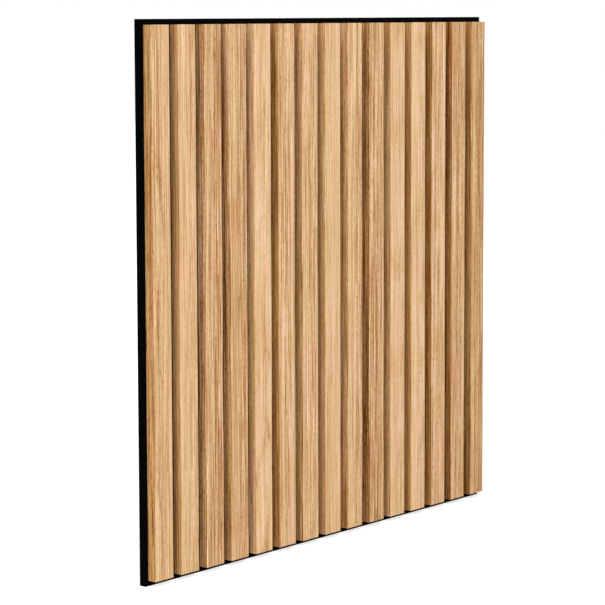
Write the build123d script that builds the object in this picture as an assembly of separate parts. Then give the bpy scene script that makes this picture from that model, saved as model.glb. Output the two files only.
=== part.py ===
from build123d import *
import os

# Square wall panel: upright oak slats on a black felt board, held by staples shot in from the back.
# The wall face lies on the plane Y = 0, the slats face -Y, Z is up and X runs across the slats.
# The origin is the centre of the wall face.

# Slats
slat_count = 15
slat_width = 27.0
slat_gap = 13.0
slat_thick = 11.0
slat_ease = 0.5

# Felt board
board_height = 595.0
board_thick = 9.0
board_ease = 0.5
side_margin = 4.0
end_margin = 6.0

# Staples, with the crown lying across the slat
staple_rows = 4
staple_end_distance = 32.0
crown_width = 12.8
crown_sink = 0.3
wire_width = 0.95
wire_thick = 0.65
leg_length = 15.0
point_length = 1.2
wire_clearance = 0.02

# Worked out from the values above
slat_pitch = slat_width + slat_gap
slat_length = board_height - 2 * end_margin
slat_span = (slat_count - 1) * slat_pitch
board_width = slat_span + slat_width + 2 * side_margin
slat_back = -board_thick
crown_face = -crown_sink
leg_tip = crown_face - leg_length
leg_centre = (crown_width - wire_thick) / 2


def block(size, centre):
    """A plain block of the size (x, y, z) about a centre."""
    return Pos(*centre) * Box(*size)


def slat_places():
    """Distance of each slat's middle from the panel's middle, from left to right."""
    return [number * slat_pitch - slat_span / 2 for number in range(slat_count)]


def staple_heights():
    """Height of each row of staples, from the lowest up."""
    reach = slat_length - 2 * staple_end_distance
    step = reach / (staple_rows - 1)
    return [row * step - reach / 2 for row in range(staple_rows)]


def staple():
    """One staple at height 0: a tight-bent wire with two chisel-pointed legs."""
    outer = crown_width / 2
    inner = outer - wire_thick
    shoulder = leg_tip + point_length
    outline = Polyline(
        (-outer, crown_face),
        (outer, crown_face),
        (outer, shoulder),
        (inner, leg_tip),
        (inner, crown_face - wire_thick),
        (-inner, crown_face - wire_thick),
        (-inner, leg_tip),
        (-outer, shoulder),
        close=True,
    )
    profile = make_face(outline)
    bends = profile.vertices().group_by(Axis.Y)[-1]
    profile = fillet(bends, wire_thick)
    return extrude(profile, wire_width / 2, both=True)


def staple_seat():
    """The space one staple takes at height 0: a recess for the crown and a hole for each leg."""
    seat_width = wire_width + 2 * wire_clearance
    leg_size = wire_thick + 2 * wire_clearance
    recess_depth = crown_sink + wire_thick + wire_clearance
    hole_depth = -leg_tip + wire_clearance
    seat = block(
        (crown_width + 2 * wire_clearance, recess_depth, seat_width),
        (0, -recess_depth / 2, 0),
    )
    for side in (-1, 1):
        seat += block(
            (leg_size, hole_depth, seat_width),
            (side * leg_centre, -hole_depth / 2, 0),
        )
    return seat


def slat_blank():
    """One slat in the middle of the panel, with the edges round its front face eased."""
    blank = block(
        (slat_width, slat_thick, slat_length),
        (0, slat_back - slat_thick / 2, 0),
    )
    front = blank.faces().sort_by(Axis.Y)[0]
    return fillet(front.edges(), slat_ease)


def slat():
    """One slat in the middle of the panel, with the holes that its staples' legs made."""
    seat = staple_seat()
    return slat_blank() - [Pos(0, 0, height) * seat for height in staple_heights()]


def backing_board():
    """The felt board, with its edges softened and a seat for every staple."""
    board = block(
        (board_width, board_thick, board_height),
        (0, slat_back / 2, 0),
    )
    faces = board.faces().sort_by(Axis.Y)
    rims = faces[0].edges() + faces[-1].edges()
    board = fillet(rims, board_ease)
    seat = staple_seat()
    seats = [Pos(place, 0, height) * seat for place in slat_places() for height in staple_heights()]
    return board - seats


def staples():
    """Every staple, one at each height behind each slat."""
    one = staple()
    return Compound([Pos(place, 0, height) * one for place in slat_places() for height in staple_heights()])


def nodes():
    """Every piece of the panel by its name."""
    pieces = {"backing_board": backing_board()}
    one = slat()
    for number, place in enumerate(slat_places(), start=1):
        pieces[f"slat_{number:02d}"] = Pos(place, 0, 0) * one
    pieces["staples"] = staples()
    return pieces


os.makedirs("parts", exist_ok=True)
for name, shape in nodes().items():
    export_step(shape, f"parts/{name}.step")
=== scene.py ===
import math

import bpy
from mathutils import Matrix, Vector

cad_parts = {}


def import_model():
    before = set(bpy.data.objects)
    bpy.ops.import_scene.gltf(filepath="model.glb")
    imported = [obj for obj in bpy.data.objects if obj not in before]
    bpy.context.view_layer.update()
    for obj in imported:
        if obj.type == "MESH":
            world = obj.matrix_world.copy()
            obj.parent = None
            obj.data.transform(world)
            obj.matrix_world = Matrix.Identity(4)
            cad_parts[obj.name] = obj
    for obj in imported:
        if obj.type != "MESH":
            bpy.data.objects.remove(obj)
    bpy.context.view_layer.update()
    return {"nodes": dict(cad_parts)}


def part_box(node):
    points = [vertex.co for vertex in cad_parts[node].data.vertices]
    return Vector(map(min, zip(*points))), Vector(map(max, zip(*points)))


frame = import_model()

MM_PER_METRE = 1000.0
PANEL_MIDDLE = (0.0, 0.0, 0.0)
WHITE = (1.0, 1.0, 1.0, 1.0)

# Camera, at the photograph's viewing angle. Its place is in metres, its angles are in degrees.
FRAME_PIXELS = 605
FOCAL_PIXELS = 2251.8
SENSOR_WIDTH_MM = 36.0
CAMERA_PLACE = (-1.9644, -1.6332, 0.3038)
CAMERA_YAW = 49.831
CAMERA_PITCH = -5.52
CAMERA_ROLL = -0.173
CAMERA_SHIFT = -0.12

# Light. A lamp has its place and size in metres and its power in watts.
WORLD_STRENGTH = 0.40
LAMPS = {
    "front": {"place": (0.2, -3.4, 0.9), "size": 2.0, "power": 56.0},
    "overhead": {"place": (-0.6, -0.5, 2.4), "size": 1.2, "power": 40.0},
    "high_left": {"place": (-2.2, -0.6, 2.2), "size": 1.6, "power": 14.0},
    "low_left": {"place": (-0.78, -0.26, -0.16), "size": 0.2, "power": 0.7},
    "right": {"place": (2.8, -0.9, 1.0), "size": 1.6, "power": 11.0},
}

# Floor, with its size in metres. What the camera sees of it glows, by FLOOR_GLOW near the panel
# and rising to 1 over the distances of FLOOR_FADE, in millimetres.
FLOOR_SIZE = 14.0
FLOOR_COLOUR = 0.70
FLOOR_ROUGHNESS = 0.9
FLOOR_SPECULAR = 0.1
FLOOR_GLOW = 0.60
FLOOR_FADE = (500.0, 2000.0)

# Oak. Colours are linear. The wood's colour is OAK_PALE times OAK_STAIN to the power of a depth,
# tinted between straw and pink, and tinted once more on the slats' sides, partly the oak's own browner
# sides and partly painted light and shade of the grooves.
OAK_PALE = (0.790, 0.570, 0.388)
OAK_STAIN = (0.375, 0.232, 0.092)
OAK_PINK = (1.03, 0.972, 0.985)
OAK_STRAW = (0.978, 1.006, 0.948)
SIDE_TINT_AND_PAINTED_LIGHT = (1.13, 1.00, 0.76)

# The oak's finish. Streaks and pores add to its roughness and are dents in it.
OAK_ROUGHNESS = 0.48
STREAK_ROUGHNESS = 0.10
PORE_ROUGHNESS = 0.25
STREAK_DENT = 0.25
OAK_SPECULAR = 0.25
OAK_BUMP_STRENGTH = 0.4
OAK_BUMP_METRES = 0.0001

# Noise layers of the oak's figure:
#   grain    size of the features across, behind and up the slat, in millimetres
#   rise     noise values between which the layer goes from 0 to 1
#   detail   how many finer layers it has
OAK_LAYERS = {
    "thread": {"grain": (1.0, 1.0, 200.0), "rise": (0.32, 0.68), "detail": 0.0},
    "streak": {"grain": (0.9, 0.9, 110.0), "rise": (0.54, 0.62), "detail": 0.0},
    "dash": {"grain": (0.8, 0.8, 34.0), "rise": (0.55, 0.62), "detail": 0.0},
    "fleck": {"grain": (0.8, 0.8, 5.0), "rise": (0.55, 0.63), "detail": 0.0},
    "vessel": {"grain": (0.35, 0.35, 6.0), "rise": (0.45, 0.65), "detail": 1.0},
    "broad": {"grain": (8.0, 8.0, 300.0), "rise": (0.38, 0.62), "detail": 1.0},
    "drift": {"grain": (6.0, 6.0, 120.0), "rise": (0.42, 0.62), "detail": 2.0},
}

# How much a layer deepens the colour: on every slat, and more by a slat's own "rings"
OAK_SHARES = {
    "streak": (0.20, 0.48),
    "early": (0.00, 0.24),
    "dash": (0.28, 0.54),
    "fleck": (0.22, 0.38),
    "vessel": (0.08, 0.00),
    "thread": (0.15, 0.17),
    "broad": (0.05, 0.00),
}

# Steps between one slat's piece of the noise and the next one's
OAK_APART = (53.0, 31.0, 917.0)
RINGS_APART = 37.0

# Growth rings. Lengths are in millimetres, EARLY values are shares of a ring's width.
RING_SLOW_GRAIN = (30.0, 30.0, 190.0)
RING_QUICK_GRAIN = (4.0, 4.0, 90.0)
RING_QUICK_WANDER = 2.0
RING_LEAST = 0.2
EARLY_FADE = (0.06, 0.34)
EARLY_ONSET = (0.90, 1.0)
LATE_PORES = 0.4

# The busy line up each slat, where the marks show most, and the sides. Lengths are in millimetres.
BUSY_GRAIN = (20.0, 20.0, 150.0)
BUSY_SWAY = 14.0
BUSY_REACH = (2.0, 12.0)
BUSY_LEAST = 0.60
SIDE_BUSY = 0.6
SIDE_EDGE = (0.6, 0.1)

# Felt. The wall side, which the photograph doesn't show, is lighter by FELT_WALL_PAINTED_LIGHT,
# which fades out over the depths of FELT_WALL_FADE, in millimetres.
FELT_DARK = (0.0004, 0.0004, 0.0005)
FELT_LIGHT = (0.0026, 0.0026, 0.0029)
# The wall side's lighter colour is painted light, so that its fibres show under the weak light there.
FELT_WALL_PAINTED_LIGHT = 14.0
FELT_WALL_FADE = (0.2, 0.7)
FELT_FIBRES = {"grain": (0.5, 0.5, 0.5), "detail": 4.0, "roughness": 0.7}
FELT_FIBRE_RISE = (0.40, 0.75)
FELT_CLUMPS = {"grain": (9.0, 9.0, 9.0), "detail": 3.0}
FELT_CLUMP_RISE = (0.45, 0.75)
FELT_CLUMP_SHARE = 0.4
FELT_ROUGHNESS = 0.95
FELT_SPECULAR = 0.02
FELT_BUMP_STRENGTH = 0.6
FELT_BUMP_METRES = 0.0003

# Galvanised steel of the staples
STEEL_DARK = (0.42, 0.42, 0.43)
STEEL_LIGHT = (0.62, 0.62, 0.64)
STEEL_SPANGLE = {"grain": (1.5, 1.5, 0.4), "detail": 3.0}
STEEL_SPANGLE_RISE = (0.3, 0.7)
STEEL_ROUGHNESS = (0.30, 0.45)

# One look for each slat, from left to right:
#   depth    how deep the wood's colour is, and side: how much deeper on its sides, partly the slat's
#            own tone and partly painted shade, mostly paler on the left-hand slats, deeper on the right
#   rings    how strong the growth rings and pores are
#   busy     where across the slat they show most
#   spacing  distance between rings, and wander: how far they stray from an even curve
#   heart    where the heart of the tree lies, across and behind the slat
#   lean     how far the heart moves, across and away, over a millimetre of height
SLAT_LOOKS = [
    {
        "depth": 0.04, "side": 0.00, "rings": 0.45, "busy": -5.0,
        "spacing": 6.4, "wander": 8.0, "heart": (-20.0, 50.0), "lean": (0.030, 0.050),
    },
    {
        "depth": 0.06, "side": -0.09, "rings": 0.24, "busy": 9.0,
        "spacing": 8.6, "wander": 3.0, "heart": (60.0, 40.0), "lean": (0.010, 0.000),
    },
    {
        "depth": 0.02, "side": -0.32, "rings": 0.90, "busy": 5.0,
        "spacing": 7.7, "wander": 2.0, "heart": (-70.0, 30.0), "lean": (0.004, 0.004),
    },
    {
        "depth": 0.07, "side": -0.31, "rings": 0.80, "busy": 6.0,
        "spacing": 7.7, "wander": 2.0, "heart": (-90.0, 45.0), "lean": (-0.004, 0.000),
    },
    {
        "depth": 0.00, "side": -0.23, "rings": 0.20, "busy": 3.0,
        "spacing": 7.1, "wander": 9.0, "heart": (4.0, 60.0), "lean": (0.020, 0.060),
    },
    {
        "depth": -0.01, "side": 0.07, "rings": 0.50, "busy": -4.0,
        "spacing": 7.2, "wander": 2.5, "heart": (-80.0, 20.0), "lean": (0.006, 0.000),
    },
    {
        "depth": -0.01, "side": -0.12, "rings": 0.62, "busy": 3.0,
        "spacing": 7.6, "wander": 2.0, "heart": (75.0, 38.0), "lean": (0.000, 0.004),
    },
    {
        "depth": 0.04, "side": -0.13, "rings": 0.16, "busy": -8.0,
        "spacing": 8.0, "wander": 3.0, "heart": (-55.0, 50.0), "lean": (0.012, 0.006),
    },
    {
        "depth": -0.01, "side": -0.11, "rings": 0.64, "busy": 9.0,
        "spacing": 7.4, "wander": 2.0, "heart": (70.0, 48.0), "lean": (0.002, 0.000),
    },
    {
        "depth": 0.01, "side": -0.01, "rings": 0.96, "busy": -5.0,
        "spacing": 7.0, "wander": 2.0, "heart": (-66.0, 22.0), "lean": (0.006, 0.004),
    },
    {
        "depth": -0.01, "side": -0.08, "rings": 0.34, "busy": 6.0,
        "spacing": 7.4, "wander": 7.0, "heart": (-3.0, 60.0), "lean": (0.010, -0.050),
    },
    {
        "depth": 0.00, "side": 0.09, "rings": 0.26, "busy": 6.0,
        "spacing": 6.5, "wander": 8.0, "heart": (12.0, 60.0), "lean": (-0.020, 0.070),
    },
    {
        "depth": -0.03, "side": 0.26, "rings": 0.58, "busy": -3.0,
        "spacing": 7.7, "wander": 4.0, "heart": (-40.0, 34.0), "lean": (0.018, 0.010),
    },
    {
        "depth": 0.02, "side": 0.26, "rings": 0.80, "busy": -1.0,
        "spacing": 7.7, "wander": 2.5, "heart": (-58.0, 26.0), "lean": (0.010, 0.004),
    },
    {
        "depth": 0.09, "side": 0.03, "rings": 0.84, "busy": 3.0,
        "spacing": 7.7, "wander": 2.0, "heart": (-84.0, 30.0), "lean": (0.004, 0.000),
    },
]


def new_material(name):
    """An empty node material: its tree and its main shader."""
    material = bpy.data.materials.new(name)
    material.use_nodes = True
    tree = material.node_tree
    tree.nodes.clear()
    output = tree.nodes.new("ShaderNodeOutputMaterial")
    shader = tree.nodes.new("ShaderNodeBsdfPrincipled")
    tree.links.new(shader.outputs[0], output.inputs[0])
    return material, tree, shader


def feed(tree, socket, value):
    """Sets a socket from another socket or from a plain value."""
    if isinstance(value, bpy.types.NodeSocket):
        tree.links.new(value, socket)
    else:
        socket.default_value = value


def calc(tree, operation, *values):
    """A Math node's result."""
    node = tree.nodes.new("ShaderNodeMath")
    node.operation = operation
    for socket, value in zip(node.inputs, values):
        feed(tree, socket, value)
    return node.outputs[0]


def vector(tree, operation, *values):
    """A Vector Math node's result: a number for a length or a dot product."""
    node = tree.nodes.new("ShaderNodeVectorMath")
    node.operation = operation
    for socket, value in zip(node.inputs, values):
        feed(tree, socket, value)
    if operation in ("LENGTH", "DOT_PRODUCT"):
        return node.outputs["Value"]
    return node.outputs["Vector"]


def step(tree, value, low, high, start=0.0, end=1.0):
    """A smooth step of value from low to high, between start and end."""
    node = tree.nodes.new("ShaderNodeMapRange")
    node.interpolation_type = "SMOOTHSTEP"
    feed(tree, node.inputs["Value"], value)
    node.inputs["From Min"].default_value = low
    node.inputs["From Max"].default_value = high
    node.inputs["To Min"].default_value = start
    node.inputs["To Max"].default_value = end
    return node.outputs["Result"]


def mix(tree, factor, first, second, blend="MIX"):
    """A colour between two colours."""
    node = tree.nodes.new("ShaderNodeMix")
    node.data_type = "RGBA"
    node.blend_type = blend
    feed(tree, node.inputs["Factor"], factor)
    for name, value in (("A", first), ("B", second)):
        socket = [s for s in node.inputs if s.name == name and s.type == "RGBA"][0]
        feed(tree, socket, value)
    return [s for s in node.outputs if s.type == "RGBA"][0]


def product(tree, first, second):
    """One colour times another."""
    return mix(tree, 1.0, first, second, "MULTIPLY")


def noise(tree, place, grain, detail=2.0, roughness=0.5):
    """Noise whose features are about grain = (x, y, z) millimetres large."""
    scaled = vector(tree, "MULTIPLY", place, tuple(1.0 / size for size in grain))
    node = tree.nodes.new("ShaderNodeTexNoise")
    node.inputs["Scale"].default_value = 1.0
    node.inputs["Detail"].default_value = detail
    node.inputs["Roughness"].default_value = roughness
    tree.links.new(scaled, node.inputs["Vector"])
    return node.outputs[0]


def stray(tree, place, grain, reach):
    """Noise about 0, over a whole range of reach."""
    return calc(tree, "MULTIPLY", calc(tree, "SUBTRACT", noise(tree, place, grain), 0.5), reach)


def bump(tree, shader, height, strength, distance):
    """Lets a shader's surface look raised by a height, of distance metres at 1."""
    node = tree.nodes.new("ShaderNodeBump")
    node.inputs["Strength"].default_value = strength
    node.inputs["Distance"].default_value = distance
    tree.links.new(height, node.inputs["Height"])
    tree.links.new(node.outputs["Normal"], shader.inputs["Normal"])


def opaque(colour):
    """A colour with its alpha."""
    return tuple(colour) + (1.0,)


def millimetres(tree, centre):
    """The point on the object, in millimetres from a centre that is given in metres."""
    coordinates = tree.nodes.new("ShaderNodeTexCoord")
    moved = vector(tree, "SUBTRACT", coordinates.outputs["Object"], tuple(centre))
    return vector(tree, "MULTIPLY", moved, (MM_PER_METRE,) * 3)


def along(tree, place, direction):
    """How far a point lies from the centre along a direction."""
    return vector(tree, "DOT_PRODUCT", place, direction)


def growth_rings(tree, place, look):
    """How far a point lies in the porous early wood of its ring, from 0 to 1, and the ring's number."""
    across, behind = look["heart"]
    lean_across, lean_behind = look["lean"]
    x = calc(tree, "SUBTRACT", along(tree, place, (1.0, 0.0, -lean_across)), across)
    y = calc(tree, "SUBTRACT", along(tree, place, (0.0, 1.0, -lean_behind)), behind)
    square = calc(tree, "ADD", calc(tree, "MULTIPLY", x, x), calc(tree, "MULTIPLY", y, y))
    radius = calc(tree, "SQRT", square)
    slow = stray(tree, place, RING_SLOW_GRAIN, look["wander"])
    quick = stray(tree, place, RING_QUICK_GRAIN, RING_QUICK_WANDER)
    bent = calc(tree, "ADD", calc(tree, "ADD", radius, slow), quick)
    turns = calc(tree, "DIVIDE", bent, look["spacing"])
    phase = calc(tree, "FRACT", turns)
    ring = calc(tree, "FLOOR", turns)
    fade = step(tree, phase, *EARLY_FADE, 1.0, 0.0)
    onset = step(tree, phase, *EARLY_ONSET)
    return calc(tree, "MAXIMUM", fade, onset), ring


def early_wood(tree, place, number, look):
    """The early wood of a slat, from 0 to 1, with a strength of its own for every ring."""
    early, ring = growth_rings(tree, place, look)
    white = tree.nodes.new("ShaderNodeTexWhiteNoise")
    white.noise_dimensions = "1D"
    feed(tree, white.inputs["W"], calc(tree, "ADD", ring, number * RINGS_APART))
    strength = calc(tree, "MULTIPLY_ADD", white.outputs["Value"], 1.0 - RING_LEAST, RING_LEAST)
    return calc(tree, "MULTIPLY", early, strength)


def oak_layer(tree, place, name):
    """One noise layer of the oak's figure, from 0 to 1."""
    values = OAK_LAYERS[name]
    return step(tree, noise(tree, place, values["grain"], values["detail"]), *values["rise"])


def oak_share(name, look):
    """How much a layer deepens the colour of a slat."""
    everywhere, with_rings = OAK_SHARES[name]
    return everywhere + with_rings * look["rings"]


def oak(number, look, centre, half_width):
    """Light oak with a matt finish, cut from a place of its own in the tree."""
    material, tree, shader = new_material(f"oak_{number:02d}")
    place = millimetres(tree, centre)
    apart = vector(tree, "ADD", place, tuple(number * part for part in OAK_APART))
    early = early_wood(tree, place, number, look)
    layers = {name: oak_layer(tree, apart, name) for name in OAK_LAYERS}

    sideways = along(tree, place, (1.0, 0.0, 0.0))
    swayed = calc(tree, "ADD", sideways, stray(tree, apart, BUSY_GRAIN, BUSY_SWAY))
    from_busy = calc(tree, "ABSOLUTE", calc(tree, "SUBTRACT", swayed, look["busy"]))
    busy = step(tree, from_busy, *BUSY_REACH, 1.0, BUSY_LEAST)
    from_middle = calc(tree, "ABSOLUTE", sideways)
    on_side = step(tree, from_middle, half_width - SIDE_EDGE[0], half_width - SIDE_EDGE[1])
    busy = calc(tree, "MULTIPLY_ADD", on_side, SIDE_BUSY, busy)

    porous = calc(tree, "MULTIPLY_ADD", early, 1.0 - LATE_PORES, LATE_PORES)
    holes = calc(tree, "MAXIMUM", layers["dash"], layers["fleck"])
    holes = calc(tree, "MAXIMUM", holes, layers["vessel"])
    pores = calc(tree, "MULTIPLY", holes, porous)

    marks = calc(tree, "MULTIPLY", layers["streak"], oak_share("streak", look))
    marks = calc(tree, "MULTIPLY_ADD", early, oak_share("early", look), marks)
    for name in ("dash", "fleck", "vessel"):
        in_pores = calc(tree, "MULTIPLY", layers[name], porous)
        marks = calc(tree, "MULTIPLY_ADD", in_pores, oak_share(name, look), marks)
    depth = calc(tree, "MULTIPLY_ADD", marks, busy, look["depth"])
    for name in ("thread", "broad"):
        depth = calc(tree, "MULTIPLY_ADD", layers[name], oak_share(name, look), depth)
    # Each slat's sides go deeper or paler by its side value: partly the slat's own tone, partly painted
    # shade, mostly deeper on the right-hand slats and paler on the left-hand ones.
    depth = calc(tree, "MULTIPLY_ADD", on_side, look["side"], depth)

    stain = tree.nodes.new("ShaderNodeGamma")
    stain.inputs["Color"].default_value = opaque(OAK_STAIN)
    tree.links.new(depth, stain.inputs["Gamma"])
    body = product(tree, opaque(OAK_PALE), stain.outputs[0])
    tint = mix(tree, layers["drift"], opaque(OAK_STRAW), opaque(OAK_PINK))
    body = product(tree, body, tint)
    # The sides' tint is partly the oak's own browner sides and partly painted light and shade of the
    # grooves.
    body = mix(tree, on_side, body, product(tree, body, opaque(SIDE_TINT_AND_PAINTED_LIGHT)))
    tree.links.new(body, shader.inputs["Base Color"])

    rough = calc(tree, "MULTIPLY_ADD", layers["streak"], STREAK_ROUGHNESS, OAK_ROUGHNESS)
    rough = calc(tree, "MULTIPLY_ADD", pores, PORE_ROUGHNESS, rough)
    tree.links.new(rough, shader.inputs["Roughness"])
    shader.inputs["Specular IOR Level"].default_value = OAK_SPECULAR

    streak_height = calc(tree, "MULTIPLY", layers["streak"], -STREAK_DENT)
    height = calc(tree, "SUBTRACT", streak_height, pores)
    bump(tree, shader, height, OAK_BUMP_STRENGTH, OAK_BUMP_METRES)
    return material


def felt():
    """Black pressed felt: matt, with fine matted fibres, and painted light on its wall side."""
    material, tree, shader = new_material("felt_black")
    place = millimetres(tree, PANEL_MIDDLE)
    dark = opaque(FELT_DARK)
    light = opaque(FELT_LIGHT)
    fibres = noise(tree, place, **FELT_FIBRES)
    clumps = noise(tree, place, **FELT_CLUMPS)
    colour = mix(tree, step(tree, fibres, *FELT_FIBRE_RISE), dark, light)
    colour = mix(tree, step(tree, clumps, *FELT_CLUMP_RISE, 0.0, FELT_CLUMP_SHARE), colour, light)
    depth = calc(tree, "ABSOLUTE", along(tree, place, (0.0, 1.0, 0.0)))
    at_wall = step(tree, depth, *FELT_WALL_FADE, 1.0, 0.0)
    # Painted light: the wall side's colour is made lighter than the felt's face, so its fibres show.
    raised = product(tree, colour, opaque((FELT_WALL_PAINTED_LIGHT,) * 3))
    tree.links.new(mix(tree, at_wall, colour, raised), shader.inputs["Base Color"])
    shader.inputs["Roughness"].default_value = FELT_ROUGHNESS
    shader.inputs["Specular IOR Level"].default_value = FELT_SPECULAR
    bump(tree, shader, fibres, FELT_BUMP_STRENGTH, FELT_BUMP_METRES)
    return material


def steel():
    """Galvanised staple wire."""
    material, tree, shader = new_material("staple_wire")
    place = millimetres(tree, PANEL_MIDDLE)
    spangle = noise(tree, place, **STEEL_SPANGLE)
    colour = mix(tree, spangle, opaque(STEEL_DARK), opaque(STEEL_LIGHT))
    tree.links.new(colour, shader.inputs["Base Color"])
    shader.inputs["Metallic"].default_value = 1.0
    rough = step(tree, spangle, *STEEL_SPANGLE_RISE, *STEEL_ROUGHNESS)
    tree.links.new(rough, shader.inputs["Roughness"])
    return material


def paint(obj, material):
    """Gives an object one material and no other."""
    obj.data.materials.clear()
    obj.data.materials.append(material)


def dress_panel():
    """The finish of every piece of the panel."""
    nodes = frame["nodes"]
    for number, look in enumerate(SLAT_LOOKS, start=1):
        name = f"slat_{number:02d}"
        low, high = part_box(name)
        centre = ((low.x + high.x) / 2, low.y, (low.z + high.z) / 2)
        half_width = (high.x - low.x) * MM_PER_METRE / 2
        paint(nodes[name], oak(number, look, centre, half_width))
    paint(nodes["backing_board"], felt())
    paint(nodes["staples"], steel())


def seen_directly(tree):
    """1 for what the camera sees itself or in gloss or glass, and 0 for light that falls on things."""
    path = tree.nodes.new("ShaderNodeLightPath")
    seen = calc(tree, "MAXIMUM", path.outputs["Is Camera Ray"], path.outputs["Is Glossy Ray"])
    return calc(tree, "MAXIMUM", seen, path.outputs["Is Transmission Ray"])


def floor():
    """A pale floor under the panel, which the camera sees as white where no shadow falls."""
    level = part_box("backing_board")[0].z
    bpy.ops.mesh.primitive_plane_add(size=FLOOR_SIZE, location=(0.0, 0.0, level))
    plane = bpy.context.object
    plane.name = "floor"
    material, tree, shader = new_material("pale_floor")
    shader.inputs["Base Color"].default_value = opaque((FLOOR_COLOUR,) * 3)
    shader.inputs["Roughness"].default_value = FLOOR_ROUGHNESS
    shader.inputs["Specular IOR Level"].default_value = FLOOR_SPECULAR
    shader.inputs["Emission Color"].default_value = WHITE
    away = vector(tree, "LENGTH", millimetres(tree, PANEL_MIDDLE))
    glow = step(tree, away, *FLOOR_FADE, FLOOR_GLOW, 1.0)
    strength = calc(tree, "MULTIPLY", seen_directly(tree), glow)
    tree.links.new(strength, shader.inputs["Emission Strength"])
    paint(plane, material)


def world():
    """Even white light from all round, and a white background."""
    sky = bpy.data.worlds.new("studio")
    bpy.context.scene.world = sky
    sky.use_nodes = True
    tree = sky.node_tree
    background = tree.nodes["Background"]
    background.inputs["Color"].default_value = WHITE
    seen = seen_directly(tree)
    strength = calc(tree, "MULTIPLY_ADD", seen, 1.0 - WORLD_STRENGTH, WORLD_STRENGTH)
    tree.links.new(strength, background.inputs["Strength"])


def lamps():
    """Soft lamps that look at the middle of the panel."""
    for name, values in LAMPS.items():
        lamp = bpy.data.lights.new(name, "AREA")
        lamp.shape = "DISK"
        lamp.size = values["size"]
        lamp.energy = values["power"]
        holder = bpy.data.objects.new(name, lamp)
        bpy.context.scene.collection.objects.link(holder)
        holder.location = values["place"]
        aim = Vector(PANEL_MIDDLE) - holder.location
        holder.rotation_euler = aim.to_track_quat("-Z", "Y").to_euler()


def camera():
    """The camera, with a small lens shift that keeps the slats nearly upright in the picture."""
    lens = bpy.data.cameras.new("camera")
    lens.sensor_width = SENSOR_WIDTH_MM
    lens.lens = SENSOR_WIDTH_MM * FOCAL_PIXELS / FRAME_PIXELS
    lens.shift_y = CAMERA_SHIFT
    holder = bpy.data.objects.new("camera", lens)
    bpy.context.scene.collection.objects.link(holder)
    turn = Matrix.Rotation(math.radians(-CAMERA_YAW), 4, "Z")
    tilt = Matrix.Rotation(math.radians(90.0 + CAMERA_PITCH), 4, "X")
    roll = Matrix.Rotation(math.radians(CAMERA_ROLL), 4, "Z")
    holder.matrix_world = Matrix.Translation(CAMERA_PLACE) @ turn @ tilt @ roll
    bpy.context.scene.camera = holder


dress_panel()
floor()
world()
lamps()
camera()
bpy.context.scene.view_settings.view_transform = "Standard"
